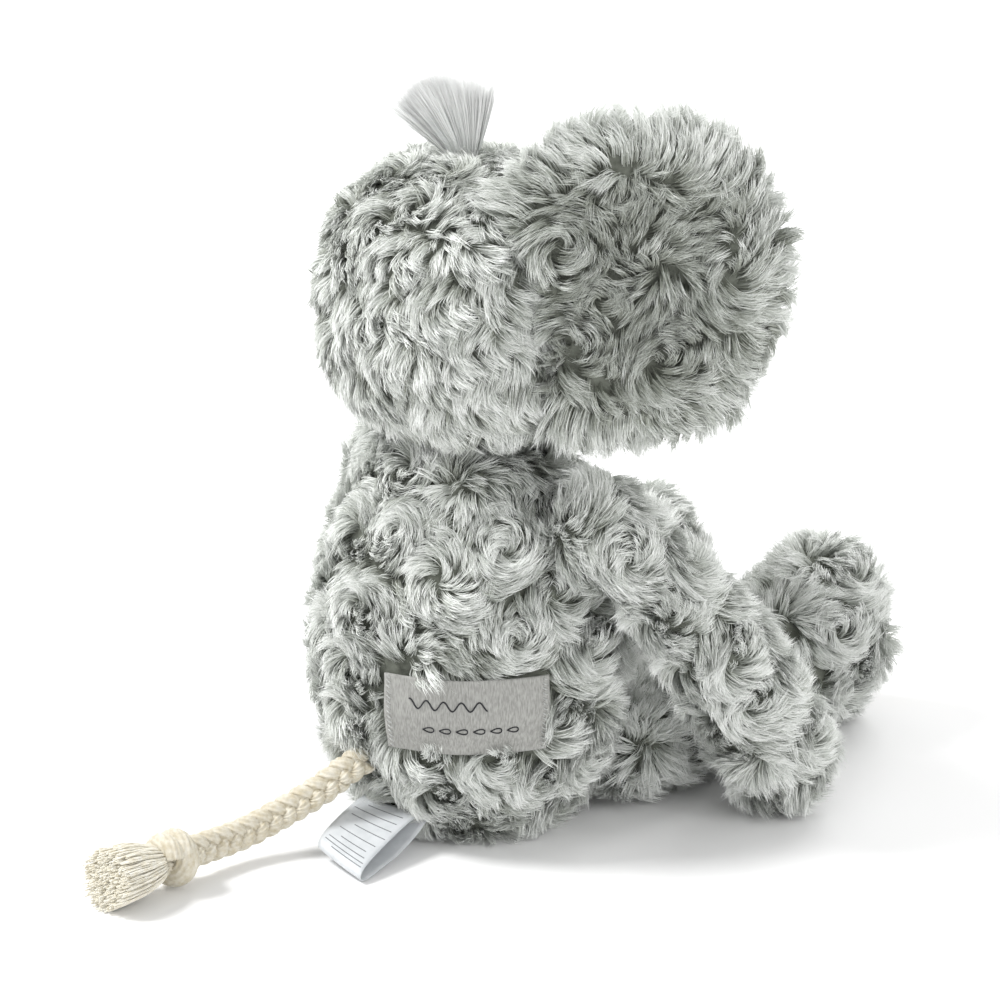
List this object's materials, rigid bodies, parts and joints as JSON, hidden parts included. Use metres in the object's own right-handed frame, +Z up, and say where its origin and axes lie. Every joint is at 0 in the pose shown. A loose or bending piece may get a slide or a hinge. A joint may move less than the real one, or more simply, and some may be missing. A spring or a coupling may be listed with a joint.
{
  "type": "stuffed monkey",
  "caption": "Sitting stuffed monkey with long curly pile, turning head, folding ears, swinging arms and legs, and a knotted rope tail.",
  "frame": {"origin": "centre of the flat base under the torso, on the floor", "axes": "+Z up, the monkey faces -Y, its own right side is -X"},
  "size_m": [0.2043, 0.3196, 0.2655],
  "materials": {
    "plush_grey": "long curled pile",
    "plush_ivory": "short pile",
    "stuffing_white": "polyester fibre",
    "pellet_cloth": "woven bag of pellets",
    "hair_white": "long straight hair",
    "cotton_rope": "braided cotton",
    "twill_grey": "woven twill",
    "thread_grey": "sewing thread",
    "thread_dark": "embroidery thread",
    "satin_white": "satin ribbon",
    "eye_black": "polished",
    "washer_white": "moulded"
  },
  "bodies": {
    "torso": {"torso_skin": "plush_grey", "torso_stuffing": "stuffing_white", "pellet_bag": "pellet_cloth", "tail_root": "cotton_rope", "back_patch": "twill_grey", "patch_stitch_right": "thread_grey", "patch_stitch_left": "thread_grey", "care_label": "satin_white"},
    "neck": {"neck_core": "stuffing_white"},
    "head": {"head_skin": "plush_grey", "head_stuffing": "stuffing_white", "face_panel": "plush_ivory", "muzzle": "plush_ivory", "nose": "thread_dark", "mouth_thread": "thread_dark", "eye_right": "eye_black", "eye_left": "eye_black", "eye_washer_right": "washer_white", "eye_washer_left": "washer_white", "ear_root_right": "plush_grey", "ear_root_left": "plush_grey", "hair_tuft": "hair_white"},
    "tail": {"tail_rope": "cotton_rope", "tail_knot": "cotton_rope", "tail_tassel": "cotton_rope"},
    "ear_right": {"ear_back_right": "plush_grey", "ear_lining_right": "plush_ivory"},
    "arm_right": {"arm_skin_right": "plush_grey", "arm_stuffing_right": "stuffing_white"},
    "leg_right": {"leg_skin_right": "plush_grey", "leg_stuffing_right": "stuffing_white", "sole_right": "plush_ivory"},
    "ear_left": {"ear_back_left": "plush_grey", "ear_lining_left": "plush_ivory"},
    "arm_left": {"arm_skin_left": "plush_grey", "arm_stuffing_left": "stuffing_white"},
    "leg_left": {"leg_skin_left": "plush_grey", "leg_stuffing_left": "stuffing_white", "sole_left": "plush_ivory"}
  },
  "joints": [
    {"name": "neck_turn", "type": "hinge", "parent": "torso", "child": "neck", "pos_m": [0, 0, 0.1385], "axis": [0, 0, 1], "range_deg": [-20, 20], "stiffness_Nm_per_rad": 0.15},
    {"name": "neck_nod", "type": "hinge", "parent": "neck", "child": "head", "pos_m": [0, 0, 0.1385], "axis": [1, 0, 0], "range_deg": [-10, 5], "stiffness_Nm_per_rad": 2},
    {"name": "ear_fold_right", "type": "hinge", "parent": "head", "child": "ear_right", "pos_m": [-0.0507, 0.0042, 0.2015], "axis": [0, 0, 1], "range_deg": [-12, 12], "stiffness_Nm_per_rad": 0.1},
    {"name": "ear_fold_left", "type": "hinge", "parent": "head", "child": "ear_left", "pos_m": [0.0507, -0.003, 0.1925], "axis": [0, 0, 1], "range_deg": [0, 10], "stiffness_Nm_per_rad": 0.1},
    {"name": "shoulder_swing_right", "type": "hinge", "parent": "torso", "child": "arm_right", "pos_m": [-0.055, -0.001, 0.117], "axis": [-1, 0, 0], "range_deg": [-12, 60]},
    {"name": "shoulder_swing_left", "type": "hinge", "parent": "torso", "child": "arm_left", "pos_m": [0.0495, -0.0195, 0.116], "axis": [-1, 0, 0], "range_deg": [-6, 33]},
    {"name": "hip_swing_right", "type": "hinge", "parent": "torso", "child": "leg_right", "pos_m": [-0.034, -0.045, 0.0215], "axis": [-1, 0, 0], "range_deg": [-60, 12]},
    {"name": "hip_swing_left", "type": "hinge", "parent": "torso", "child": "leg_left", "pos_m": [0.034, -0.045, 0.0215], "axis": [-1, 0, 0], "range_deg": [-60, 12]},
    {"name": "tail_swing", "type": "hinge", "parent": "torso", "child": "tail", "pos_m": [0.0076, 0.053, 0.0295], "axis": [0, 0, 1], "range_deg": [-45, 45]}
  ]
}
